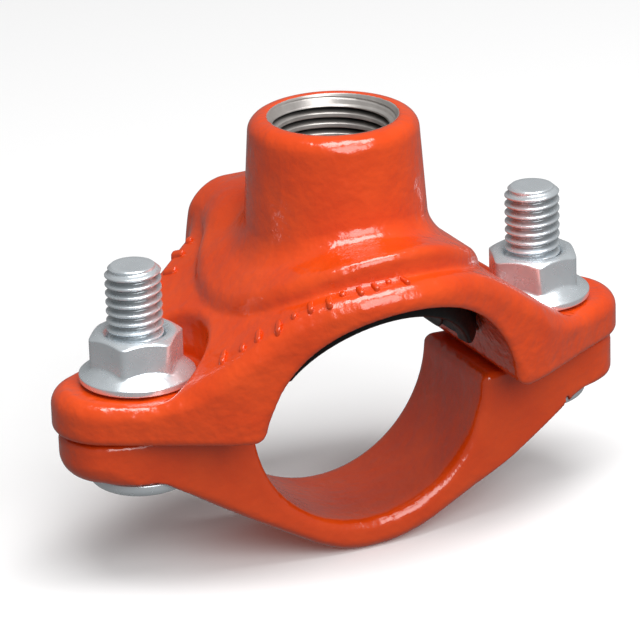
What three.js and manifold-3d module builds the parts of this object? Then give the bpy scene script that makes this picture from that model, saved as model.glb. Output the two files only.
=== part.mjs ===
// Bolted branch-outlet coupling for a 1 1/4 inch run pipe, with a 1/2 inch female threaded outlet.
// Millimetres, +Z up. The origin is the centre of the run pipe: the pipe runs along Y, the bolts
// stand at +X and -X, and the outlet points along +Z.

import * as THREE from 'three';
import { mergeVertices } from 'three/addons/utils/BufferGeometryUtils.js';
import Module from 'manifold-3d';

const wasm = await Module();
wasm.setup();

// ---------------------------------------------------------------- driving dimensions

const PIPE_RADIUS = 21.1; // 42.2 mm outside diameter, 1 1/4 inch nominal
const BOLT_SPACING = 75.5; // between the two bolt axes
const BOLT_X = BOLT_SPACING / 2;
const BOLT_RADIUS = 9.525 / 2; // 3/8 inch
const BOLT_LENGTH = 36.3; // under the head
const RUNNING_GAP = 0.3; // between pieces that touch
const UPPER_BOTTOM_Z = 0.8; // underside of the upper housing's ears
const LOWER_TOP_Z = 0.4; // top of the lower housing's ears

// upper housing
const SEAT_Z = 8.2; // the flat that each nut sits on
const CROWN_Z = 26.5; // top of the lips over the pipe
const SHOULDER = { x: 20, z: 21.1 }; // where the rounded crown meets the straight slope
const SLOPE_END_X = 38; // where the slope reaches the nut seat
const WAIST = { x: 25, y: 22 }; // corner between the body and the flared ears
const EAR_TIP = { x: 43, radius: 9.85 };
const LIP_RADIUS = 28.2; // both lips, about the outlet axis
const SCOOP_RADIUS = 12; // wrench clearance round each nut
const UPPER_HOLE_RADIUS = 5.5;
const BORE_HALF_WIDTH = 23.55; // bore of the upper housing at the parting plane
const BORE_TOP_Z = 21.9;

// outlet
const OUTLET_TOP_Z = 48.2;
const BOSS_FOOT_RADIUS = 16.2;
const BOSS_TOP_RADIUS = 14.5;
const BOSS_EDGE = 3; // rounding of the top edge
const PAD_RADIUS = 24; // round raised pad over the gasket pocket
const PAD_TOP_RADIUS = 31.1; // its top follows the pipe at this radius
const OUTLET_CHAMFER = { radius: 11.0, depth: 1.8 };
const OUTLET_THREAD = { topRadius: 10.1, bottomRadius: 9.6, depth: 15.5 }; // mean thread surface
const COLLAR = { inner: 11.2, outer: 14.2, bottomRadius: PIPE_RADIUS - 1.7 }; // fits the hole in the pipe

// squared block behind the outlet, a little higher than the pad
const BLOCK = { halfWidth: 16, backY: 28, frontY: 12, corner: 3, topZ: 31, topCorner: 4 };

// gasket and its pocket
const POCKET = { radius: 24.2, ceilingRadius: 25.2, bottomZ: 7.8 };
const GASKET = {
  inner: 14.6,
  outer: 23.9,
  bottomZ: 8.6, // at the outer edge
  bottomSlope: 0.25, // the ends hang lower towards the middle
  sealRadius: PIPE_RADIUS - 2.3,
  backRadius: 24.9,
};

// lower housing
const STRAP_INNER_RADIUS = PIPE_RADIUS + 0.5;
const STRAP_OUTER_RADIUS = 27;
const STRAP_HALF_WIDTH = 12;
const STRAP_SHOULDER_X = 35; // where the strap starts to narrow into the ears
const LOWER_TIP = { x: 43, radius: 8.9 };
const LOWER_EAR_BOTTOM_Z = -7.4; // the flat that each bolt head pulls against
const LEG_ANGLE = THREE.MathUtils.degToRad(27); // slope of the straight legs
const LEG_END = { x: 40, step: 1.6 }; // where each leg stops, and how far on it steps up to the ear
const NECK_HOLE = { radius: 5.3, offset: 2.2 }; // oval hole, offset is half the straight part
const HEAD_POCKET_RADIUS = 9.3; // recess for the bolt head where the leg starts

// bolts and nuts
const HEAD_RADIUS = 8.9;
const HEAD_HEIGHT = 3.7;
const HEAD_RIM = 0.9; // straight edge of the head below its dome
const NECK = { radius: 4.9, offset: 2.2, height: 5.5 };
const BOLT_POINT = 1.0; // chamfer at the end
const NUT = { acrossFlats: 14.29, height: 8.4, flangeRadius: 9.84, flangeRim: 1.1, coneTop: 3.1 };
const NUT_CORNER_CUT = { drop: 0.7, inset: 1.6 }; // the hexagon's corners are turned down at the top
const NUT_TURN = { left: THREE.MathUtils.degToRad(-10), right: THREE.MathUtils.degToRad(10.5) };

const FAR = 60; // beyond every face, for cutting tools
const ROUND = 64; // segments round a large circle

// ---------------------------------------------------------------- materials

const housingPaint = () => new THREE.MeshStandardMaterial({ color: 0xd9421c, roughness: 0.35, metalness: 0.0 });
const zincPlate = () => new THREE.MeshStandardMaterial({ color: 0xc3c8cc, roughness: 0.28, metalness: 1.0 });
const blackRubber = () => new THREE.MeshStandardMaterial({ color: 0x0b0b0c, roughness: 0.75, metalness: 0.0 });

// ---------------------------------------------------------------- solids from geometry

function solid(geometry) {
  const bare = geometry.clone();
  bare.deleteAttribute('normal');
  bare.deleteAttribute('uv');
  const merged = mergeVertices(bare, 1e-5);
  return new wasm.Manifold(
    new wasm.Mesh({
      numProp: 3,
      vertProperties: new Float32Array(merged.attributes.position.array),
      triVerts: new Uint32Array(merged.index.array),
    }),
  );
}

function geometryOf(manifold) {
  const mesh = manifold.getMesh();
  const geometry = new THREE.BufferGeometry();
  geometry.setAttribute('position', new THREE.BufferAttribute(mesh.vertProperties, 3));
  geometry.setIndex(new THREE.BufferAttribute(mesh.triVerts, 1));
  geometry.computeVertexNormals();
  return geometry;
}

// an outline in X and Y, pulled up from zLow to zHigh
function upright(shape, zLow, zHigh) {
  const geometry = new THREE.ExtrudeGeometry(shape, {
    depth: zHigh - zLow,
    bevelEnabled: false,
    curveSegments: ROUND / 4,
  });
  geometry.translate(0, 0, zLow);
  return solid(geometry);
}

// an outline in X and Z, pulled along the pipe from -halfLength to halfLength
function alongPipe(shape, halfLength) {
  const geometry = new THREE.ExtrudeGeometry(shape, {
    depth: 2 * halfLength,
    bevelEnabled: false,
    curveSegments: ROUND / 4,
  });
  geometry.rotateX(Math.PI / 2);
  geometry.translate(0, halfLength, 0);
  return solid(geometry);
}

// a profile of [radius, z] points, turned about the Z axis
function turned(profile, segments = ROUND) {
  const points = profile.map(([radius, z]) => new THREE.Vector2(radius, z));
  const geometry = new THREE.LatheGeometry(points, segments);
  geometry.rotateX(Math.PI / 2);
  return solid(geometry);
}

function roundBar(radius, zLow, zHigh, segments = ROUND) {
  const geometry = new THREE.CylinderGeometry(radius, radius, zHigh - zLow, segments);
  geometry.rotateX(Math.PI / 2);
  geometry.translate(0, 0, (zLow + zHigh) / 2);
  return solid(geometry);
}

function pipeBar(radius) {
  return solid(new THREE.CylinderGeometry(radius, radius, 2 * FAR, ROUND * 1.5));
}

function atBolt(manifold, side) {
  return manifold.translate([side * BOLT_X, 0, 0]);
}

// ---------------------------------------------------------------- outlines

// a body with a rounded ear at each end: straight flares run from the body's corners to the tips
function earedOutline(corner, tip) {
  const toCorner = Math.atan2(corner.y, corner.x - tip.x);
  const distance = Math.hypot(corner.x - tip.x, corner.y);
  const tangent = toCorner - Math.acos(tip.radius / distance);
  const shape = new THREE.Shape();
  shape.absarc(tip.x, 0, tip.radius, -tangent, tangent, false);
  shape.lineTo(corner.x, corner.y);
  shape.lineTo(-corner.x, corner.y);
  shape.absarc(-tip.x, 0, tip.radius, Math.PI - tangent, Math.PI + tangent, false);
  shape.lineTo(-corner.x, -corner.y);
  shape.lineTo(corner.x, -corner.y);
  return shape;
}

// a slot or oval with its straight part along X
function slotOutline(radius, offset) {
  const shape = new THREE.Shape();
  shape.absarc(offset, 0, radius, -Math.PI / 2, Math.PI / 2, false);
  shape.absarc(-offset, 0, radius, Math.PI / 2, (3 * Math.PI) / 2, false);
  return shape;
}

function blockOutline() {
  const { halfWidth, backY, frontY, corner } = BLOCK;
  const shape = new THREE.Shape();
  shape.moveTo(-halfWidth, frontY);
  shape.lineTo(halfWidth, frontY);
  shape.absarc(halfWidth - corner, backY - corner, corner, 0, Math.PI / 2, false);
  shape.absarc(corner - halfWidth, backY - corner, corner, Math.PI / 2, Math.PI, false);
  return shape;
}

function blockProfile() {
  const { halfWidth, topZ, topCorner } = BLOCK;
  const shape = new THREE.Shape();
  shape.moveTo(-halfWidth, UPPER_BOTTOM_Z);
  shape.lineTo(halfWidth, UPPER_BOTTOM_Z);
  shape.absarc(halfWidth - topCorner, topZ - topCorner, topCorner, 0, Math.PI / 2, false);
  shape.absarc(topCorner - halfWidth, topZ - topCorner, topCorner, Math.PI / 2, Math.PI, false);
  return shape;
}

function hexOutline(acrossFlats) {
  const cornerRadius = acrossFlats / 2 / Math.cos(Math.PI / 6);
  const shape = new THREE.Shape();
  for (let i = 0; i < 6; i += 1) {
    const angle = (i * Math.PI) / 3;
    shape.lineTo(cornerRadius * Math.cos(angle), cornerRadius * Math.sin(angle));
  }
  return shape;
}

// the upper housing seen along the pipe: nut seats, straight slopes and the rounded crown
function crownProfile() {
  const slope = (SHOULDER.z - SEAT_Z) / (SLOPE_END_X - SHOULDER.x);
  const controlX = SHOULDER.x - (CROWN_Z - SHOULDER.z) / slope;
  const shape = new THREE.Shape();
  shape.moveTo(FAR, UPPER_BOTTOM_Z);
  shape.lineTo(FAR, SEAT_Z);
  shape.lineTo(SLOPE_END_X, SEAT_Z);
  shape.lineTo(SHOULDER.x, SHOULDER.z);
  shape.quadraticCurveTo(controlX, CROWN_Z, 0, CROWN_Z);
  shape.quadraticCurveTo(-controlX, CROWN_Z, -SHOULDER.x, SHOULDER.z);
  shape.lineTo(-SLOPE_END_X, SEAT_Z);
  shape.lineTo(-FAR, SEAT_Z);
  shape.lineTo(-FAR, UPPER_BOTTOM_Z);
  return shape;
}

function boreProfile() {
  const shape = new THREE.Shape();
  shape.moveTo(BORE_HALF_WIDTH, -1);
  shape.absellipse(0, 0, BORE_HALF_WIDTH, BORE_TOP_Z, 0, Math.PI, false, 0);
  shape.lineTo(-BORE_HALF_WIDTH, -1);
  return shape;
}

// the lower housing seen along the pipe: ears, straight legs and the round bottom
function strapProfile() {
  const tangentX = STRAP_OUTER_RADIUS * Math.sin(LEG_ANGLE);
  const tangentZ = -STRAP_OUTER_RADIUS * Math.cos(LEG_ANGLE);
  const legEndZ = tangentZ + (LEG_END.x - tangentX) * Math.tan(LEG_ANGLE);
  const stepX = LEG_END.x + LEG_END.step;
  const shape = new THREE.Shape();
  shape.moveTo(FAR, LOWER_TOP_Z);
  shape.lineTo(-FAR, LOWER_TOP_Z);
  shape.lineTo(-FAR, LOWER_EAR_BOTTOM_Z);
  shape.lineTo(-stepX, LOWER_EAR_BOTTOM_Z);
  shape.lineTo(-LEG_END.x, legEndZ);
  shape.absarc(0, 0, STRAP_OUTER_RADIUS, -Math.PI / 2 - LEG_ANGLE, -Math.PI / 2 + LEG_ANGLE, false);
  shape.lineTo(LEG_END.x, legEndZ);
  shape.lineTo(stepX, LOWER_EAR_BOTTOM_Z);
  shape.lineTo(FAR, LOWER_EAR_BOTTOM_Z);
  return shape;
}

// ---------------------------------------------------------------- pieces

function outletBoss() {
  return turned([
    [0, SHOULDER.z],
    [BOSS_FOOT_RADIUS, SHOULDER.z],
    [BOSS_TOP_RADIUS, OUTLET_TOP_Z - BOSS_EDGE],
    [BOSS_TOP_RADIUS - 0.3 * BOSS_EDGE, OUTLET_TOP_Z - 0.3 * BOSS_EDGE],
    [BOSS_TOP_RADIUS - BOSS_EDGE, OUTLET_TOP_Z],
    [0, OUTLET_TOP_Z],
  ]);
}

function outletPassage() {
  const chamferZ = OUTLET_TOP_Z - OUTLET_CHAMFER.depth;
  const threadEndZ = OUTLET_TOP_Z - OUTLET_THREAD.depth;
  return turned([
    [0, 0],
    [COLLAR.inner, 0],
    [COLLAR.inner, POCKET.ceilingRadius],
    [OUTLET_THREAD.bottomRadius, threadEndZ],
    [OUTLET_THREAD.topRadius, chamferZ],
    [OUTLET_CHAMFER.radius, OUTLET_TOP_Z],
    [OUTLET_CHAMFER.radius, OUTLET_TOP_Z + 1],
    [0, OUTLET_TOP_Z + 1],
  ]);
}

function upperHousing() {
  const eared = upright(earedOutline(WAIST, EAR_TIP), UPPER_BOTTOM_Z, FAR);
  const lips = roundBar(LIP_RADIUS, UPPER_BOTTOM_Z, FAR);
  const saddle = eared.add(lips).intersect(alongPipe(crownProfile(), FAR));
  const pad = roundBar(PAD_RADIUS, UPPER_BOTTOM_Z, FAR).intersect(pipeBar(PAD_TOP_RADIUS));
  const block = upright(blockOutline(), UPPER_BOTTOM_Z, FAR).intersect(alongPipe(blockProfile(), FAR));
  const pocket = roundBar(POCKET.radius, POCKET.bottomZ, FAR).intersect(pipeBar(POCKET.ceilingRadius));
  const collar = roundBar(COLLAR.outer, 0, BORE_TOP_Z + COLLAR.outer / 2).subtract(pipeBar(COLLAR.bottomRadius));
  let housing = saddle.add(pad).add(block).add(outletBoss());
  housing = housing.subtract(alongPipe(boreProfile(), FAR));
  housing = housing.subtract(pocket).add(collar).subtract(outletPassage());
  for (const side of [-1, 1]) {
    housing = housing.subtract(atBolt(roundBar(SCOOP_RADIUS, SEAT_Z, FAR), side));
    housing = housing.subtract(atBolt(roundBar(UPPER_HOLE_RADIUS, 0, FAR, ROUND / 2), side));
  }
  return housing;
}

function lowerHousing() {
  const corner = { x: STRAP_SHOULDER_X, y: STRAP_HALF_WIDTH };
  const outline = upright(earedOutline(corner, LOWER_TIP), -FAR, FAR);
  let housing = outline.intersect(alongPipe(strapProfile(), FAR)).subtract(pipeBar(STRAP_INNER_RADIUS));
  const neckHole = upright(slotOutline(NECK_HOLE.radius, NECK_HOLE.offset), -FAR, FAR);
  const headPocket = roundBar(HEAD_POCKET_RADIUS, -FAR, LOWER_EAR_BOTTOM_Z);
  for (const side of [-1, 1]) {
    housing = housing.subtract(atBolt(neckHole.add(headPocket), side));
  }
  return housing;
}

function gasket() {
  const disc = turned([
    [0, GASKET.bottomZ - GASKET.bottomSlope * GASKET.outer],
    [GASKET.outer, GASKET.bottomZ],
    [GASKET.outer, FAR],
    [0, FAR],
  ]);
  const ring = disc.subtract(roundBar(GASKET.inner, 0, 2 * FAR));
  return ring.intersect(pipeBar(GASKET.backRadius)).subtract(pipeBar(GASKET.sealRadius));
}

// domed head below, oval neck in the ear, and a plain round shank at the thread's outside radius
function bolt() {
  const seat = LOWER_EAR_BOTTOM_Z - RUNNING_GAP;
  const end = seat + BOLT_LENGTH;
  const domeHeight = HEAD_HEIGHT - HEAD_RIM;
  const profile = [[0, seat - HEAD_HEIGHT]];
  for (let i = 1; i <= 6; i += 1) {
    const angle = (i * Math.PI) / 12;
    profile.push([HEAD_RADIUS * Math.sin(angle), seat - HEAD_RIM - domeHeight * Math.cos(angle)]);
  }
  profile.push(
    [HEAD_RADIUS, seat],
    [BOLT_RADIUS, seat],
    [BOLT_RADIUS, end - BOLT_POINT],
    [BOLT_RADIUS - BOLT_POINT, end],
    [0, end],
  );
  const neck = upright(slotOutline(NECK.radius, NECK.offset), seat - HEAD_RIM / 2, seat + NECK.height);
  return turned(profile, ROUND / 2).add(neck);
}

// hexagon with a coned flange, standing on the nut seat
function flangeNut() {
  const bottom = SEAT_Z + RUNNING_GAP;
  const top = bottom + NUT.height;
  const cornerRadius = NUT.acrossFlats / 2 / Math.cos(Math.PI / 6);
  const topCone = turned([
    [0, bottom],
    [cornerRadius, bottom],
    [cornerRadius, top - NUT_CORNER_CUT.drop],
    [cornerRadius - NUT_CORNER_CUT.inset, top],
    [0, top],
  ], ROUND * 0.75);
  const hex = upright(hexOutline(NUT.acrossFlats), bottom, top).intersect(topCone);
  const flange = turned([
    [0, bottom],
    [NUT.flangeRadius, bottom],
    [NUT.flangeRadius, bottom + NUT.flangeRim],
    [NUT.acrossFlats / 2, bottom + NUT.coneTop],
    [0, bottom + NUT.coneTop],
  ], ROUND * 0.75);
  return hex.add(flange).subtract(roundBar(BOLT_RADIUS + RUNNING_GAP, 0, FAR, ROUND / 2));
}

// ---------------------------------------------------------------- assembly

const coupling = new THREE.Group();

function place(name, manifold, material, x = 0, turn = 0) {
  const mesh = new THREE.Mesh(geometryOf(manifold), material);
  mesh.name = name;
  mesh.position.x = x;
  mesh.rotation.z = turn;
  coupling.add(mesh);
}

place('upper_housing', upperHousing(), housingPaint());
place('lower_housing', lowerHousing(), housingPaint());
place('gasket', gasket(), blackRubber());
place('bolt_left', bolt(), zincPlate(), -BOLT_X);
place('bolt_right', bolt(), zincPlate(), BOLT_X);
place('nut_left', flangeNut(), zincPlate(), -BOLT_X, NUT_TURN.left);
place('nut_right', flangeNut(), zincPlate(), BOLT_X, NUT_TURN.right);

export default coupling;
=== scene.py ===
"""Looks of a bolted branch coupling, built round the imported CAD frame.

Shapes are worked out in millimetres, in the frame's own axes, and become metres when a mesh is made.
Each casting is a solid described by a distance field, so that every edge and corner has its real radius.
Bolts, nuts and the outlet's thread are stacks of rings round an upright axis."""

import math

import bpy
import numpy as np
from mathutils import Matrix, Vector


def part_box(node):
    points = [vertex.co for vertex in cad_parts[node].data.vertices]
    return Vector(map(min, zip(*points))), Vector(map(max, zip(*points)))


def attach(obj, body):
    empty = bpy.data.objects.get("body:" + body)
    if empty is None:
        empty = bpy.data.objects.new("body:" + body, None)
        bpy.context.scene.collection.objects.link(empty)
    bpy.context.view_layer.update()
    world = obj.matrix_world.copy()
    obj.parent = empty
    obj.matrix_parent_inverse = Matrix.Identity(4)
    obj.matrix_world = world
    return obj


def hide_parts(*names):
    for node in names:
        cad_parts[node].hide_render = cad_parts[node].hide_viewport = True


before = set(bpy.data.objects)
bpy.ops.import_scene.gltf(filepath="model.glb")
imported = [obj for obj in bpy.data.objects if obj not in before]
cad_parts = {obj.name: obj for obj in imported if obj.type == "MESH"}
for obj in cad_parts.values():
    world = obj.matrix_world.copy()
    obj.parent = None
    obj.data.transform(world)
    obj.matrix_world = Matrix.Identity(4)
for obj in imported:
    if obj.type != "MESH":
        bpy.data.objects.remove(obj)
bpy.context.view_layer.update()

import openvdb
from mathutils import Matrix, Vector

MM = 0.001
TAU = 2 * math.pi
TINY = 1e-6  # keeps divisions away from zero


def box_mm(node):
    low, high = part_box(node)
    return np.array(low) / MM, np.array(high) / MM


UPPER_LOW, UPPER_HIGH = box_mm("upper_housing")
LOWER_LOW, LOWER_HIGH = box_mm("lower_housing")
GASKET_LOW, GASKET_HIGH = box_mm("gasket")
BOLT_LOW, BOLT_HIGH = box_mm("bolt_right")
NUT_LOW, NUT_HIGH = box_mm("nut_right")

# ------------------------------------------------------------------ dimensions, in millimetres

GAP = 0.3  # left between pieces that touch
BOLT_X = (BOLT_LOW[0] + BOLT_HIGH[0]) / 2
PIPE_RADIUS = 21.1

# upper housing
SEAT_Z = NUT_LOW[2] - GAP
CROWN_Z = 26.5
SHOULDER_X, SHOULDER_Z = 20, 21.1
SLOPE_END_X = 38
WAIST_X, WAIST_Y = 25, 22
EAR_RADIUS = 9.85
LIP_RADIUS = -UPPER_LOW[1]
PLAN_ROUND, SADDLE_EDGE = 4, 3
SEAT_FILLET, PARTING_EDGE = 1.5, 1.2
SCOOP_RADIUS, SCOOP_EDGE = 12, 0.8
HOLE_RADIUS, HOLE_EDGE = 5.5, 0.6
BORE_HALF_WIDTH, BORE_TOP_Z = 23.55, 21.9
BORE_EDGE_HEIGHTS, BORE_EDGES = (2, 7), (2.6, 1.0)  # the bore's edge is rounder at the bottom

# outlet
OUTLET_TOP_Z = UPPER_HIGH[2]
BOSS_FOOT_RADIUS, BOSS_TOP_RADIUS = 16.2, 14.5
BOSS_EDGE, BOSS_FILLET = 2.5, 2.8
PAD_RADIUS, PAD_TOP_RADIUS = 24, 31.1
PAD_EDGE, PAD_FILLET = 1.5, 0.6
CHAMFER_RADIUS, CHAMFER_DEPTH, CHAMFER_SLOPE = 11.0, 1.8, 0.42
PASSAGE_EDGE = 0.15
OUTLET_PITCH = 25.4 / 14
OUTLET_CREST_RADIUS, OUTLET_ROOT_RADIUS = 9.55, 10.9
OUTLET_TAPER = 1 / 32
OUTLET_THREAD_DEPTH = 15.5
OUTLET_THREAD_CREST, OUTLET_THREAD_ROOT = 0.36, 0.06  # flat crest and sharp root, as shares of the pitch
OUTLET_THREAD_SEGMENTS, OUTLET_RINGS_PER_PITCH = 160, 20
LINING_WALL, LINING_SINK = 0.6, 0.05  # thickness, and how far its top lies below the outlet's face
LINING_FOOT_Z = CROWN_Z - 2
COLLAR_INNER, COLLAR_OUTER = 11.2, 14.2
COLLAR_BOTTOM_RADIUS = PIPE_RADIUS - 1.7
COLLAR_EDGE, COLLAR_TOP_EDGE, COLLAR_FILLET = 0.6, 0.5, 0.8
BLOCK_TOP_HALF_WIDTH, BLOCK_DRAFT = 14.4, 0.25
BLOCK_FOOT_HALF_WIDTH = 16.8
BLOCK_BACK_Y, BLOCK_FRONT_Y, BLOCK_FRONT_SLOPE = 28, 14, 0.4
BLOCK_TOP_Z, BLOCK_CORNER = 31, 6
BLOCK_FOOT_ROUND, BLOCK_FRONT_ROUND, BLOCK_BACK_ROUND = 2, 4, 2.5
BLOCK_FILLET = 3

# raised marks, whose rows follow a parabola
MARK_COUNT, MARK_FIRST_X, MARK_PITCH = 12, -28.6, 2.6
MARK_ROW_Y, MARK_ROW_BEND = 24.8, 0.0125
MARK_HALF_WIDTH, MARK_HEIGHT, MARK_EDGE = 0.5, 0.55, 0.3
BAR_HALF_LENGTH, DOT_HALF_LENGTH = 0.8, 0.15
MARK_STAGGER, MARK_STAGGER_TURN = 0.5, 2.4  # each mark steps aside by a sine of that many radians more
MARK_MARGIN = 2

# gasket and its pocket
POCKET_RADIUS, POCKET_CEILING = 24.2, 25.2
POCKET_BOTTOM_Z = 7.8
POCKET_CORNER, POCKET_EDGE = 0.4, 0.3
GASKET_OUTER = GASKET_HIGH[0]
GASKET_INNER = 14.6
GASKET_SEAL = PIPE_RADIUS - 2.3
GASKET_BACK = GASKET_HIGH[2]
GASKET_BOTTOM_Z = 8.6  # at the outer edge
GASKET_BOTTOM_SLOPE = 0.25  # the ends hang lower towards the middle
GASKET_EDGE, GASKET_SEAL_EDGE, GASKET_BOTTOM_EDGE = 0.8, 0.9, 0.5
GROOVE_HALF_WIDTH, GROOVE_DEPTH, GROOVE_EDGE = 1.2, 1, 0.4

# lower housing
STRAP_INNER = PIPE_RADIUS + 0.5
STRAP_OUTER = -LOWER_LOW[2]
STRAP_HALF_WIDTH = LOWER_HIGH[1]
STRAP_SHOULDER_X, STRAP_ROUND = 35, 6
STRAP_BORE_EDGE, STRAP_TOP_EDGE = 2.0, 1.4
LOWER_EAR_RADIUS = 8.9
LOWER_EAR_BOTTOM_Z = -7.4
LEG_ANGLE = math.radians(27)
LEG_RISE_ANGLE = math.radians(36)  # each leg's end rises more steeply to the ear
LEG_RISE_LEFT, LEG_RISE_RIGHT = 29.1, 33  # distance of those rises from the pipe's axis
LEG_RISE_ROUND, LEG_EAR_FILLET = 6, 0.8
# rounding of the strap's lower edge along X
LOWER_EDGE_X = (-47, -42, -37, -33, 20, 27, 42, 47)
LOWER_EDGES = (4.2, 0.8, 0.8, 2.2, 2.2, 0.6, 0.6, 1.8)
NECK_HOLE_RADIUS, NECK_OFFSET, NECK_HOLE_EDGE = 5.3, 2.2, 0.6

# bolts and nuts
BOLT_RADIUS = 9.525 / 2
BOLT_PITCH = 25.4 / 16
HEAD_RADIUS = (BOLT_HIGH[0] - BOLT_LOW[0]) / 2
HEAD_SEAT_Z = LOWER_EAR_BOTTOM_Z - GAP
HEAD_RIM, HEAD_EDGE = 0.9, 0.3
HEAD_POCKET_RADIUS = HEAD_RADIUS + GAP
HEAD_POCKET_CORNER, HEAD_POCKET_EDGE = 0.6, 0.2
NECK_RADIUS, NECK_HEIGHT, NECK_EDGE = 4.9, 5.5, 0.4
BOLT_THREAD_DEPTH, BOLT_THREAD_RUN_OUT = 0.6 * BOLT_PITCH, 2
BOLT_SEGMENTS, BOLT_RINGS_PER_PITCH = 96, 16
BOLT_POINT_RADIUS, BOLT_POINT_SLOPE = BOLT_RADIUS - 1.15, 1.1
BOLT_POINT_LENGTH = 1.2
FLANK_ROUNDING = 0.45  # how far a thread's flanks bend from straight towards a full S
FLANGE_RADIUS = (NUT_HIGH[1] - NUT_LOW[1]) / 2
FLANGE_RIM, FLANGE_TOP, FLANGE_EDGE = 1.1, 3.1, 0.35
NUT_FLATS, NUT_SEGMENTS = 14.29, 192
NUT_RING_STEP = 0.11
NUT_CORNER_TRIM, NUT_CORNER_BLEND = 0.15, 0.3
NUT_CHAMFER_DEPTH, NUT_CHAMFER_SLOPE = 0.85, 1.75
NUT_CHAMFER_TRIM, NUT_CHAMFER_BLEND = 0.1, 0.25
NUT_FLANGE_BLEND = 0.5
NUT_BORE_CLEARANCE = 0.1
NUT_COUNTERSINK, NUT_COUNTERSINK_DEPTH = 0.9, 0.8
NUT_TURNS = {"nut_left": -10, "nut_right": 10.5}  # degrees

# camera, with its distance and its aim in millimetres
AZIMUTH, ELEVATION, ROLL = -25.73, 21.42, -1.77
DISTANCE = 745.5
LENS, SENSOR_WIDTH = 245.6, 36
AIM_RIGHT, AIM_UP, AIM_Z = -3.29, 2.31, 8.6

FLOOR_REACH = 4000
LIGHTS_TARGET = (0, 0, 10)


# ------------------------------------------------------------------ distance fields


def join(a, b, radius):
    """Union of two fields, with a fillet of that radius in the corner between them."""
    corner = np.hypot(np.maximum(radius - a, 0), np.maximum(radius - b, 0))
    return np.maximum(np.minimum(a, b), radius) - corner


def common(a, b, radius):
    """What two fields share, with the edge between them rounded to that radius."""
    return -join(-a, -b, radius)


def cut(a, b, radius):
    """Field a with b taken away, and the edge rounded to that radius."""
    return common(a, -b, radius)


def eared(x, y, corner, tip_x, tip_radius, corner_radius):
    """Plan of a body with a round ear at each end and straight flares between them."""
    across, along = np.abs(x), np.abs(y)
    to_corner = math.atan2(corner[1], corner[0] - tip_x)
    reach = math.hypot(corner[0] - tip_x, corner[1])
    angle = to_corner - math.acos(tip_radius / reach)
    nx, ny = math.cos(angle), math.sin(angle)
    flare = (across - tip_x) * nx + along * ny - tip_radius
    tip = np.hypot(across - tip_x, along) - tip_radius
    sides = np.where((across - tip_x) * ny > along * nx, tip, flare)
    return common(sides, along - corner[1], corner_radius)


def block(x, y, z):
    """The squared block behind the outlet, with drafted sides and a sloping front."""
    across = np.abs(x)
    below_top = BLOCK_TOP_Z - z
    drafted = (across - BLOCK_TOP_HALF_WIDTH - BLOCK_DRAFT * below_top) / math.hypot(1, BLOCK_DRAFT)
    side = common(drafted, across - BLOCK_FOOT_HALF_WIDTH, BLOCK_FOOT_ROUND)
    front = (BLOCK_FRONT_Y - y - BLOCK_FRONT_SLOPE * below_top) / math.hypot(1, BLOCK_FRONT_SLOPE)
    section = common(common(side, -below_top, BLOCK_CORNER), front, BLOCK_FRONT_ROUND)
    return common(section, y - BLOCK_BACK_Y, BLOCK_BACK_ROUND)


def crown(x, z):
    """Everything below the saddle's top, which has a rounded crown, straight slopes and nut seats."""
    across = np.abs(x)
    slope = (SHOULDER_Z - SEAT_Z) / (SLOPE_END_X - SHOULDER_X)
    drop = CROWN_Z - SHOULDER_Z
    control = SHOULDER_X - drop / slope
    # where the point lies along a quadratic curve from the crown's top to the shoulder
    bend = 2 * control - SHOULDER_X
    inside = np.minimum(across, SHOULDER_X)
    t = (control - np.sqrt(control**2 - bend * inside)) / bend
    curve = (z - CROWN_Z + drop * t**2) / np.hypot(1, drop * t / (control - bend * t))
    line = (z - SHOULDER_Z + slope * (across - SHOULDER_X)) / math.hypot(1, slope)
    top = np.where(across < SHOULDER_X, curve, line)
    return join(top, z - SEAT_Z, SEAT_FILLET)


def bore(x, z):
    """The oval run bore of the upper housing."""
    scaled = np.hypot(x / BORE_HALF_WIDTH, z / BORE_TOP_Z)
    steep = np.hypot(x / BORE_HALF_WIDTH**2, z / BORE_TOP_Z**2) + TINY
    return scaled * (scaled - 1) / steep


def boss(radius, z):
    """The outlet's drafted boss."""
    draft = (BOSS_FOOT_RADIUS - BOSS_TOP_RADIUS) / (OUTLET_TOP_Z - BOSS_EDGE - SHOULDER_Z)
    side = radius - BOSS_FOOT_RADIUS + draft * (z - SHOULDER_Z)
    return common(side / math.hypot(1, draft), z - OUTLET_TOP_Z, BOSS_EDGE)


def upper_casting(x, y, z):
    """The upper housing before its bore, pocket and holes are cut."""
    radius = np.hypot(x, y)
    tip_x = UPPER_HIGH[0] - EAR_RADIUS
    plan = eared(x, y, (WAIST_X, WAIST_Y), tip_x, EAR_RADIUS, PLAN_ROUND)
    plan = join(plan, radius - LIP_RADIUS, PLAN_ROUND)
    body = common(plan, crown(x, z), SADDLE_EDGE)
    pad = common(radius - PAD_RADIUS, np.hypot(x, z) - PAD_TOP_RADIUS, PAD_EDGE)
    body = join(body, pad, PAD_FILLET)
    body = join(body, block(x, y, z), BLOCK_FILLET)
    body = join(body, boss(radius, z), BOSS_FILLET)
    body = np.maximum(body, np.abs(y) - LIP_RADIUS)
    return common(body, UPPER_LOW[2] - z, PARTING_EDGE)


def gasket_pocket(radius, from_pipe, z):
    """The recess round the outlet that holds the gasket."""
    pocket = common(radius - POCKET_RADIUS, from_pipe - POCKET_CEILING, POCKET_CORNER)
    return common(pocket, POCKET_BOTTOM_Z - z, POCKET_CORNER)


def collar(radius, from_pipe, z):
    """The ring round the outlet that sits in the run pipe's hole."""
    wall = common(radius - COLLAR_OUTER, COLLAR_BOTTOM_RADIUS - from_pipe, COLLAR_EDGE)
    return common(wall, z - CROWN_Z, COLLAR_TOP_EDGE)


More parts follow.
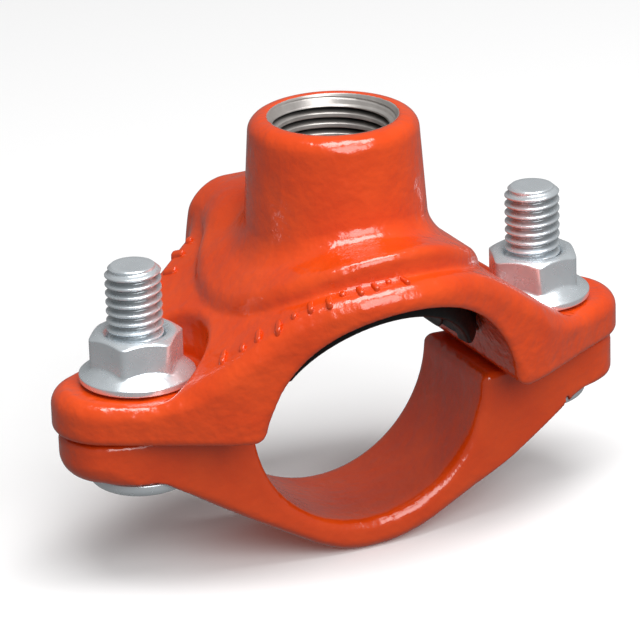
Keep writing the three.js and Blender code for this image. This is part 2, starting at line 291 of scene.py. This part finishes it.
def upper_housing(x, y, z):
    """The upper housing, with its bore, gasket pocket, collar, outlet and bolt holes."""
    radius = np.hypot(x, y)
    from_pipe = np.hypot(x, z)
    body = upper_casting(x, y, z)
    body = cut(body, bore(x, z), np.interp(z, BORE_EDGE_HEIGHTS, BORE_EDGES))
    body = cut(body, gasket_pocket(radius, from_pipe, z), POCKET_EDGE)
    body = join(body, collar(radius, from_pipe, z), COLLAR_FILLET)
    body = cut(body, radius - CHAMFER_RADIUS, PASSAGE_EDGE)
    from_bolt = np.hypot(np.abs(x) - BOLT_X, y)
    body = cut(body, common(from_bolt - SCOOP_RADIUS, SEAT_Z - z, SCOOP_EDGE), SCOOP_EDGE)
    return cut(body, from_bolt - HOLE_RADIUS, HOLE_EDGE)


def cast_marks(x, y, z):
    """A row of short raised bars and dots along the front and back bands of the saddle."""
    away = np.inf
    for i in range(MARK_COUNT):
        middle_x = MARK_FIRST_X + i * MARK_PITCH
        stagger = MARK_STAGGER * math.sin(MARK_STAGGER_TURN * i)
        middle_y = MARK_ROW_Y - MARK_ROW_BEND * middle_x**2 + stagger
        lean = 2 * MARK_ROW_BEND * middle_x
        nx, ny = lean / math.hypot(lean, 1), 1 / math.hypot(lean, 1)
        half_length = DOT_HALF_LENGTH if i % 3 == 1 else BAR_HALF_LENGTH
        dx, dy = x - middle_x, np.abs(y) - middle_y
        along = np.clip(dx * nx + dy * ny, -half_length, half_length)
        away = np.minimum(away, np.hypot(dx - along * nx, dy - along * ny) - MARK_HALF_WIDTH)
    return common(away, np.abs(crown(x, z)) - MARK_HEIGHT, MARK_EDGE)


def strap_profile(x, z):
    """The lower housing seen along the pipe, without its top and its bore."""
    across = np.abs(x)
    sine, cosine = math.sin(LEG_ANGLE), math.cos(LEG_ANGLE)
    leg = across * sine - z * cosine - STRAP_OUTER
    round_part = across * cosine < -z * sine
    leg = np.where(round_part, np.hypot(x, z) - STRAP_OUTER, leg)
    rise_start = np.where(x < 0, LEG_RISE_LEFT, LEG_RISE_RIGHT)
    rise = across * math.sin(LEG_RISE_ANGLE) - z * math.cos(LEG_RISE_ANGLE) - rise_start
    leg = common(leg, rise, LEG_RISE_ROUND)
    return join(leg, LOWER_EAR_BOTTOM_Z - z, LEG_EAR_FILLET)


def oval(x, y, radius, offset):
    """Plan of a round-ended slot."""
    return np.hypot(np.maximum(np.abs(x) - offset, 0), y) - radius


def lower_housing(x, y, z):
    """The strap below the pipe, with an ear, a bolt hole and a pocket for the bolt's head at each end."""
    tip_x = LOWER_HIGH[0] - LOWER_EAR_RADIUS
    shoulder = (STRAP_SHOULDER_X, STRAP_HALF_WIDTH)
    plan = eared(x, y, shoulder, tip_x, LOWER_EAR_RADIUS, STRAP_ROUND)
    body = common(plan, strap_profile(x, z), np.interp(x, LOWER_EDGE_X, LOWER_EDGES))
    body = common(body, z - LOWER_HIGH[2], STRAP_TOP_EDGE)
    body = cut(body, np.hypot(x, z) - STRAP_INNER, STRAP_BORE_EDGE)
    bolt_x = np.abs(x) - BOLT_X
    body = cut(body, oval(bolt_x, y, NECK_HOLE_RADIUS, NECK_OFFSET), NECK_HOLE_EDGE)
    above_seat = z - LOWER_EAR_BOTTOM_Z
    head_pocket = common(np.hypot(bolt_x, y) - HEAD_POCKET_RADIUS, above_seat, HEAD_POCKET_CORNER)
    return cut(body, head_pocket, HEAD_POCKET_EDGE)


def gasket(x, y, z):
    """The rubber ring, curved to the pipe, with a groove in its sealing face."""
    radius = np.hypot(x, y)
    from_pipe = np.hypot(x, z)
    body = common(radius - GASKET_OUTER, GASKET_INNER - radius, GASKET_EDGE)
    body = common(body, from_pipe - GASKET_BACK, GASKET_EDGE)
    body = common(body, GASKET_SEAL - from_pipe, GASKET_SEAL_EDGE)
    bottom = GASKET_BOTTOM_Z - GASKET_BOTTOM_SLOPE * (GASKET_OUTER - radius)
    body = common(body, bottom - z, GASKET_BOTTOM_EDGE)
    from_middle = np.abs(radius - (GASKET_INNER + GASKET_OUTER) / 2)
    depth = from_pipe - GASKET_SEAL
    groove = common(from_middle - GROOVE_HALF_WIDTH, depth - GROOVE_DEPTH, GROOVE_EDGE)
    return cut(body, groove, GROOVE_EDGE)


# ------------------------------------------------------------------ meshes


def gradient(field, points, reach=0.02):
    """A field's slope at each point, from values that far to either side."""
    steps = np.eye(3) * reach
    sides = [field(*(points + s).T) - field(*(points - s).T) for s in steps]
    return np.stack(sides, axis=1) / (2 * reach)


def settle(field, points, rounds=3):
    """Moves points that lie close to a field's surface onto it."""
    for _ in range(rounds):
        slope = gradient(field, points)
        steepness = np.maximum((slope**2).sum(axis=1), 0.05)
        points = points - (field(*points.T) / steepness)[:, None] * slope
    return points


def make_object(name, points, faces, material, recess=None):
    """A smooth-shaded object. Its recess attribute is 1 at the bottom of a thread's groove and tells the
    materials where to paint shade.
    """
    mesh = bpy.data.meshes.new(name)
    mesh.from_pydata((np.asarray(points, float) * MM).tolist(), [], faces)
    if recess is not None:
        depths = mesh.attributes.new("recess", "FLOAT", "POINT")
        depths.data.foreach_set("value", np.clip(recess, 0, 1).astype(np.float32))
    mesh.polygons.foreach_set("use_smooth", [True] * len(mesh.polygons))
    mesh.materials.append(material)
    mesh.update()
    piece = bpy.data.objects.new(name, mesh)
    bpy.context.scene.collection.objects.link(piece)
    return piece


def surface(field, low, high, step):
    """Points and quads of a field's surface, from a grid with that step."""
    margin, band = 2.5 * step, 3 * step
    start = low - margin
    counts = np.ceil((high - low + 2 * margin) / step).astype(int) + 1
    axes = [start[i] + step * np.arange(counts[i]) for i in range(3)]
    x, y, z = np.meshgrid(*axes, indexing="ij", sparse=True)
    values = np.clip(field(x, y, z), -band, band).astype(np.float32)
    grid = openvdb.FloatGrid(float(band))
    grid.copyFromArray(np.ascontiguousarray(values))
    points, quads = grid.convertToQuads(0.0)
    points = settle(field, start + points.astype(float) * step)
    a, b, c, d = (points[quads[:, i]] for i in range(4))
    outward = (np.cross(c - a, d - b) * (a + b + c + d)).sum() > 0
    return points, (quads if outward else quads[:, ::-1]).tolist()


def cast(name, field, low, high, material, step):
    """An object with a field's surface, from a grid with that step."""
    points, faces = surface(field, low, high, step)
    return make_object(name, points, faces, material)


def ring_rows(rows, closed):
    """Points and faces of a stack of rings. An open stack is capped at both ends."""
    grid = np.array(rows)
    count, segments = grid.shape[:2]
    points = grid.reshape(-1, 3)
    rings = np.arange(count * segments).reshape(count, segments)
    below = rings if closed else rings[:-1]
    above = np.roll(rings, -1, axis=0) if closed else rings[1:]
    quads = np.stack([below, np.roll(below, -1, 1), np.roll(above, -1, 1), above], axis=-1)
    faces = quads.reshape(-1, 4).tolist()
    if not closed:
        ends = [(rings[0][::-1], grid[0].mean(axis=0)), (rings[-1], grid[-1].mean(axis=0))]
        for edge, middle in ends:
            hub = len(points)
            points = np.vstack([points, middle])
            faces += [[int(a), int(b), hub] for a, b in zip(edge, np.roll(edge, -1))]
    return points, faces


def around(segments):
    """Angles of evenly spaced points round a full turn."""
    return np.arange(segments) * TAU / segments


def ring(angles, radius, z):
    """Points of one ring round the Z axis."""
    radius = np.broadcast_to(radius, angles.shape)
    return np.stack([radius * np.cos(angles), radius * np.sin(angles), np.full_like(angles, z)], axis=1)


def thread_wave(z, angles, pitch, crest=0.14, root=0.14):
    """0 at a right-handed thread's crest and 1 at its root, which take those parts of the pitch."""
    phase = (z / pitch - angles / TAU) % 1
    away = np.abs(2 * phase - 1)
    ramp = np.clip((away - crest) / (1 - crest - root), 0, 1)
    eased = ramp * ramp * (3 - 2 * ramp)
    return FLANK_ROUNDING * eased + (1 - FLANK_ROUNDING) * ramp


def head_rows(angles):
    """The domed head, from the middle of its underside up to the edge of its seat."""
    rows = []
    dome_rings, edge_rings = 14, 5
    dome = HEAD_SEAT_Z - HEAD_RIM - BOLT_LOW[2]
    for i in range(dome_rings):
        turn = (i + 1) * TAU / 4 / dome_rings
        height = HEAD_SEAT_Z - HEAD_RIM - dome * math.cos(turn)
        rows.append(ring(angles, HEAD_RADIUS * math.sin(turn), height))
    for i in range(edge_rings):
        turn = (i + 1) * TAU / 4 / edge_rings
        inset = HEAD_EDGE * (1 - math.cos(turn))
        rows.append(ring(angles, HEAD_RADIUS - inset, HEAD_SEAT_Z - HEAD_EDGE * (1 - math.sin(turn))))
    return rows


def neck_rows(angles):
    """The oval neck, with its long way along X."""
    cosine, sine = np.cos(angles), np.sin(angles)
    flat_side = np.abs(NECK_RADIUS / np.where(np.abs(sine) < TINY, TINY, sine))
    round_end = NECK_OFFSET * np.abs(cosine) + np.sqrt(NECK_RADIUS**2 - (NECK_OFFSET * sine) ** 2)
    neck = np.where(flat_side * np.abs(cosine) < NECK_OFFSET, flat_side, round_end)
    top = HEAD_SEAT_Z + NECK_HEIGHT
    return [
        ring(angles, neck + NECK_EDGE, HEAD_SEAT_Z),
        ring(angles, neck, HEAD_SEAT_Z + NECK_EDGE),
        ring(angles, neck, top - NECK_EDGE),
        ring(angles, neck - NECK_EDGE, top),
    ]


def shank_rows(angles):
    """The threaded shank, with a chamfered point. The thread runs out above the neck."""
    rows = []
    low, end = HEAD_SEAT_Z + NECK_HEIGHT, BOLT_HIGH[2]
    for z in np.arange(low + 0.1, end - 0.02, BOLT_PITCH / BOLT_RINGS_PER_PITCH):
        depth = BOLT_THREAD_DEPTH * min(1, (z - low) / BOLT_THREAD_RUN_OUT)
        threaded = BOLT_RADIUS - depth * thread_wave(z, angles, BOLT_PITCH)
        point = BOLT_POINT_RADIUS + (end - z) * BOLT_POINT_SLOPE
        rows.append(ring(angles, np.minimum(threaded, point), z))
    rows.append(ring(angles, BOLT_POINT_RADIUS - 0.1, end))
    rows.append(ring(angles, BOLT_POINT_RADIUS - 1.05, end - 0.02))
    return rows


def bolt(name, x, material):
    """A track bolt at that distance along X."""
    angles = around(BOLT_SEGMENTS)
    points, faces = ring_rows(head_rows(angles) + neck_rows(angles) + shank_rows(angles), closed=False)
    z = points[:, 2]
    threaded = (z > HEAD_SEAT_Z + NECK_HEIGHT) & (z < BOLT_HIGH[2] - BOLT_POINT_LENGTH)
    depth = BOLT_RADIUS - np.hypot(points[:, 0], points[:, 1])
    # how deep each point lies in the thread's groove, which sets how much shade is painted there
    recess = np.where(threaded, depth / BOLT_THREAD_DEPTH, 0)
    return make_object(name, points + np.array([x, 0, 0]), faces, material, recess)


def least(a, b, blend):
    """The smaller of two radii, with the change between them eased over that length."""
    return np.minimum(a, b) - np.maximum(blend - np.abs(a - b), 0) ** 2 / (4 * blend)


def nut_rows(turn):
    """A flange nut whose hexagon is turned by that angle."""
    angles = around(NUT_SEGMENTS)
    half = NUT_FLATS / 2
    corner_radius = half / math.cos(TAU / 12)
    off_flat = (angles - turn) % (TAU / 6) - TAU / 12
    hexagon = least(half / np.cos(off_flat), corner_radius - NUT_CORNER_TRIM, NUT_CORNER_BLEND)
    bottom, top = NUT_LOW[2], NUT_HIGH[2]
    cone_slope = (FLANGE_RADIUS - half) / (FLANGE_TOP - FLANGE_RIM)
    rows = []
    edge_rings, edge = 7, FLANGE_EDGE
    for i in range(edge_rings):
        angle = i * TAU / 4 / (edge_rings - 1)
        inset = edge * (1 - math.sin(angle))
        rows.append(ring(angles, FLANGE_RADIUS - inset, bottom + edge * (1 - math.cos(angle))))
    for z in np.arange(bottom + FLANGE_RIM - edge, top + 0.001, NUT_RING_STEP):
        cone = FLANGE_RADIUS - max(0, z - bottom - FLANGE_RIM) * cone_slope
        past_chamfer = max(0, z - (top - NUT_CHAMFER_DEPTH))
        top_cone = corner_radius - NUT_CHAMFER_TRIM - past_chamfer * NUT_CHAMFER_SLOPE
        prism = least(hexagon, top_cone, NUT_CHAMFER_BLEND)
        rows.append(ring(angles, -least(-prism, -cone, NUT_FLANGE_BLEND), z))
    hole = BOLT_RADIUS + NUT_BORE_CLEARANCE
    rows.append(ring(angles, hole + NUT_COUNTERSINK, top))
    rows.append(ring(angles, hole, top - NUT_COUNTERSINK_DEPTH))
    rows.append(ring(angles, hole, bottom + NUT_COUNTERSINK_DEPTH))
    rows.append(ring(angles, hole + NUT_COUNTERSINK, bottom))
    return rows


def nut(name, x, material):
    """A nut at that distance along X."""
    points, faces = ring_rows(nut_rows(math.radians(NUT_TURNS[name])), closed=True)
    return make_object(name + "_threaded", points + np.array([x, 0, 0]), faces, material)


def outlet_crest(down):
    """Radius of the outlet thread's crest at that depth below the outlet's face."""
    return OUTLET_CREST_RADIUS - OUTLET_TAPER * down


def outlet_rows():
    """The machined lining of the outlet: its chamfer, its thread and the plain bore below."""
    angles = around(OUTLET_THREAD_SEGMENTS)
    wall = CHAMFER_RADIUS + LINING_WALL
    top, low = OUTLET_TOP_Z - LINING_SINK, OUTLET_TOP_Z - OUTLET_THREAD_DEPTH
    rows = [ring(angles, wall, top), ring(angles, CHAMFER_RADIUS, top)]
    depth = OUTLET_ROOT_RADIUS - OUTLET_CREST_RADIUS
    steps = int(OUTLET_THREAD_DEPTH / OUTLET_PITCH * OUTLET_RINGS_PER_PITCH)
    for z in np.linspace(top - 0.1, low, steps):
        down = OUTLET_TOP_Z - z
        wave = thread_wave(z, angles, OUTLET_PITCH, OUTLET_THREAD_CREST, OUTLET_THREAD_ROOT)
        countersink = CHAMFER_RADIUS - down * CHAMFER_SLOPE if down < CHAMFER_DEPTH else 0
        rows.append(ring(angles, np.maximum(outlet_crest(down) + depth * wave, countersink), z))
    rows.append(ring(angles, COLLAR_INNER - 1.6, low - 0.5))
    rows.append(ring(angles, COLLAR_INNER - 0.1, low - 2.5))
    rows.append(ring(angles, COLLAR_INNER - 0.1, LINING_FOOT_Z))
    rows.append(ring(angles, wall, LINING_FOOT_Z))
    return rows[::-1]


def outlet_thread(material):
    """The outlet's machined lining as an object of its own."""
    points, faces = ring_rows(outlet_rows(), closed=True)
    down = OUTLET_TOP_Z - points[:, 2]
    depth = np.hypot(points[:, 0], points[:, 1]) - outlet_crest(down)
    # how deep each point lies in the thread's groove, which sets how much shade is painted there
    recess = depth / (OUTLET_ROOT_RADIUS - OUTLET_CREST_RADIUS)
    recess[down < CHAMFER_DEPTH] = 0
    return make_object("outlet_thread", points, faces, material, recess)


# ------------------------------------------------------------------ materials


def socket(key):
    """The name of a node's input that is written as a keyword."""
    return key.replace("_", " ").title().replace("Ior", "IOR")


class Nodes:
    """Short ways to add and wire a material's nodes."""

    def __init__(self, name):
        self.material = bpy.data.materials.new(name)
        self.material.use_nodes = True
        self.tree = self.material.node_tree
        self.shader = self.tree.nodes["Principled BSDF"]
        self.place = self.tree.nodes.new("ShaderNodeTexCoord").outputs["Object"]

    def add(self, kind, **values):
        """A new node, with its settings and its inputs' values."""
        node = self.tree.nodes.new(kind)
        for key, value in values.items():
            if hasattr(node, key):
                setattr(node, key, value)
            else:
                node.inputs[socket(key)].default_value = value
        return node

    def link(self, source, target):
        self.tree.links.new(source, target)

    def set(self, **values):
        """Values for the material's own inputs."""
        for key, value in values.items():
            self.shader.inputs[socket(key)].default_value = value

    def noise(self, size_mm, detail=3.0, roughness=0.5):
        """Noise whose features are about that many millimetres across."""
        scale = 1 / (size_mm * MM)
        node = self.add("ShaderNodeTexNoise", scale=scale, detail=detail, roughness=roughness)
        self.link(self.place, node.inputs["Vector"])
        return node.outputs["Fac"]

    def between(self, factor, low, high):
        """Spreads the middle of a noise's range over those values."""
        node = self.add("ShaderNodeMapRange", from_min=0.3, from_max=0.7, to_min=low, to_max=high)
        self.link(factor, node.inputs["Value"])
        return node.outputs["Result"]

    def colour(self, factor, stops):
        """Base colour from a factor: (position, colour) stops, in linear values."""
        node = self.add("ShaderNodeValToRGB")
        ramp = node.color_ramp
        while len(ramp.elements) < len(stops):
            ramp.elements.new(0.5)
        for element, (position, value) in zip(ramp.elements, stops):
            element.position = position
            element.color = (*value, 1)
        self.link(factor, node.inputs["Fac"])
        self.link(node.outputs["Color"], self.shader.inputs["Base Color"])

    def paint_groove_shade(self, amount):
        """Paints shade into a thread's grooves: darkens the colour by that share where a mesh's recess
        attribute is 1.
        """
        recess = self.add("ShaderNodeAttribute", attribute_name="recess").outputs["Fac"]
        mix = self.add("ShaderNodeMix", data_type="RGBA", blend_type="MULTIPLY")
        share = self.add("ShaderNodeMath", operation="MULTIPLY")
        share.inputs[1].default_value = amount
        self.link(recess, share.inputs[0])
        base = self.shader.inputs["Base Color"]
        self.link(share.outputs[0], mix.inputs["Factor"])
        self.link(base.links[0].from_socket, mix.inputs["A"])
        mix.inputs["B"].default_value = (0, 0, 0, 1)
        self.link(mix.outputs["Result"], base)

    def bump(self, layers):
        """Stacks bumps: (height output, depth in millimetres)."""
        last = None
        for height, depth in layers:
            node = self.add("ShaderNodeBump", strength=1, distance=depth * MM)
            self.link(height, node.inputs["Height"])
            if last is not None:
                self.link(last, node.inputs["Normal"])
            last = node.outputs["Normal"]
        self.link(last, self.shader.inputs["Normal"])


def orange_enamel():
    """Gloss enamel over rough cast iron."""
    n = Nodes("orange_enamel")
    n.set(specular_ior_level=0.9)
    n.colour(n.noise(9, 4), [(0.3, (0.70, 0.054, 0.003)), (0.7, (0.78, 0.073, 0.006))])
    n.link(n.between(n.noise(2.2), 0.15, 0.24), n.shader.inputs["Roughness"])
    n.bump([(n.noise(4.0, 2), 0.35), (n.noise(1.3, 2), 0.11)])
    return n.material


def zinc_plate():
    """Bright zinc plate on steel."""
    n = Nodes("zinc_plate")
    n.set(metallic=0.7)
    n.colour(n.noise(4, 4), [(0.3, (0.80, 0.86, 0.90)), (0.7, (0.88, 0.94, 0.98))])
    # painted shade at the bottom of the bolt threads' grooves
    n.paint_groove_shade(0.45)
    n.link(n.between(n.noise(1.6, 3), 0.22, 0.30), n.shader.inputs["Roughness"])
    n.bump([(n.noise(0.9, 2), 0.004)])
    return n.material


def machined_iron():
    """Bare turned iron."""
    n = Nodes("machined_iron")
    n.set(metallic=0.6)
    n.colour(n.noise(3, 4), [(0.3, (0.46, 0.43, 0.41)), (0.7, (0.60, 0.57, 0.54))])
    # painted shade, nearly black, at the bottom of the outlet thread's grooves
    n.paint_groove_shade(0.97)
    n.link(n.between(n.noise(1.2, 3), 0.32, 0.42), n.shader.inputs["Roughness"])
    n.bump([(n.noise(0.6, 2), 0.005)])
    return n.material


def black_rubber():
    """Moulded rubber with a satin surface."""
    n = Nodes("black_rubber")
    n.set(specular_ior_level=0.25)
    n.colour(n.noise(2, 4), [(0.3, (0.004, 0.004, 0.004)), (0.7, (0.008, 0.008, 0.008))])
    n.link(n.between(n.noise(0.8, 3), 0.42, 0.58), n.shader.inputs["Roughness"])
    n.bump([(n.noise(0.6, 3), 0.015)])
    return n.material


# ------------------------------------------------------------------ pieces


def stand_for(piece, node, body):
    """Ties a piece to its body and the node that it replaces."""
    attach(piece, body)
    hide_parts(node)


def build_pieces():
    """Every piece of the coupling, each on its own body."""
    enamel, zinc = orange_enamel(), zinc_plate()
    upper = cast("upper_casting", upper_housing, UPPER_LOW, UPPER_HIGH, enamel, step=0.5)
    stand_for(upper, "upper_housing", "saddle")
    marks_low = np.array([MARK_FIRST_X - MARK_MARGIN, -MARK_ROW_Y - MARK_MARGIN, SEAT_Z])
    marks_high = np.array([MARK_FIRST_X + MARK_COUNT * MARK_PITCH, MARK_ROW_Y + MARK_MARGIN, CROWN_Z + 1])
    marks = cast("cast_marks", cast_marks, marks_low, marks_high, enamel, step=0.2)
    stand_for(marks, "upper_housing", "saddle")
    lower = cast("lower_casting", lower_housing, LOWER_LOW, LOWER_HIGH, enamel, step=0.45)
    stand_for(lower, "lower_housing", "strap")
    seal = cast("gasket_ring", gasket, GASKET_LOW, GASKET_HIGH, black_rubber(), step=0.35)
    stand_for(seal, "gasket", "saddle")
    thread = outlet_thread(machined_iron())
    stand_for(thread, "upper_housing", "saddle")
    for side, x in (("left", -BOLT_X), ("right", BOLT_X)):
        stand_for(bolt(f"bolt_{side}_threaded", x, zinc), f"bolt_{side}", "strap")
        stand_for(nut(f"nut_{side}", x, zinc), f"nut_{side}", f"{side}_nut")


# ------------------------------------------------------------------ studio


def area_light(name, place, size, watts):
    """A rectangular light of that size in millimetres, turned towards the coupling."""
    light = bpy.data.lights.new(name, "AREA")
    light.shape = "RECTANGLE"
    light.size, light.size_y = (s * MM for s in size)
    light.energy = watts
    lamp = bpy.data.objects.new(name, light)
    lamp.location = Vector(place) * MM
    lamp.rotation_euler = (Vector(LIGHTS_TARGET) - Vector(place)).to_track_quat("-Z", "Y").to_euler()
    bpy.context.scene.collection.objects.link(lamp)


def build_lights():
    """A soft grey surround, a broad light overhead and one in front."""
    world = bpy.data.worlds.new("studio")
    world.use_nodes = True
    sky = world.node_tree.nodes["Background"]
    sky.inputs["Color"].default_value = (1.0, 1.0, 1.0, 1)
    sky.inputs["Strength"].default_value = 0.22
    bpy.context.scene.world = world
    area_light("overhead", place=(0, -290, 1165), size=(1000, 500), watts=12.2)
    area_light("front", place=(0, -950, 700), size=(900, 800), watts=9.5)


def build_floor():
    """A pale floor that takes shadows but throws no light back up."""
    n = Nodes("pale_floor")
    n.set(base_color=(0.96, 0.96, 0.96, 1), roughness=0.9)
    reach, height = FLOOR_REACH * MM, LOWER_LOW[2] * MM
    corners = [(i * reach, j * reach, height) for i, j in ((-1, -1), (1, -1), (1, 1), (-1, 1))]
    mesh = bpy.data.meshes.new("floor")
    mesh.from_pydata(corners, [], [(0, 1, 2, 3)])
    mesh.materials.append(n.material)
    floor = bpy.data.objects.new("floor", mesh)
    bpy.context.scene.collection.objects.link(floor)
    floor.visible_diffuse = False
    floor.visible_glossy = False


def build_camera():
    """A long lens that looks down on the coupling from its front left."""
    azimuth, elevation, roll = (math.radians(a) for a in (AZIMUTH, ELEVATION, ROLL))
    level = Vector((math.cos(azimuth), math.sin(azimuth), 0))
    ahead = Vector((-math.sin(azimuth), math.cos(azimuth), 0))
    forward = ahead * math.cos(elevation) - Vector((0, 0, math.sin(elevation)))
    upward = level.cross(forward)
    right = level * math.cos(roll) + upward * math.sin(roll)
    up = upward * math.cos(roll) - level * math.sin(roll)
    camera = bpy.data.objects.new("camera", bpy.data.cameras.new("camera"))
    camera.data.lens = LENS
    camera.data.sensor_width = SENSOR_WIDTH
    place = (Vector((0, 0, AIM_Z)) - forward * DISTANCE + right * AIM_RIGHT + up * AIM_UP) * MM
    turn = Matrix((right, up, -forward)).transposed().to_4x4()
    camera.matrix_world = Matrix.Translation(place) @ turn
    bpy.context.scene.collection.objects.link(camera)
    bpy.context.scene.camera = camera


build_pieces()
build_lights()
build_floor()
build_camera()
bpy.context.scene.view_settings.view_transform = "Standard"
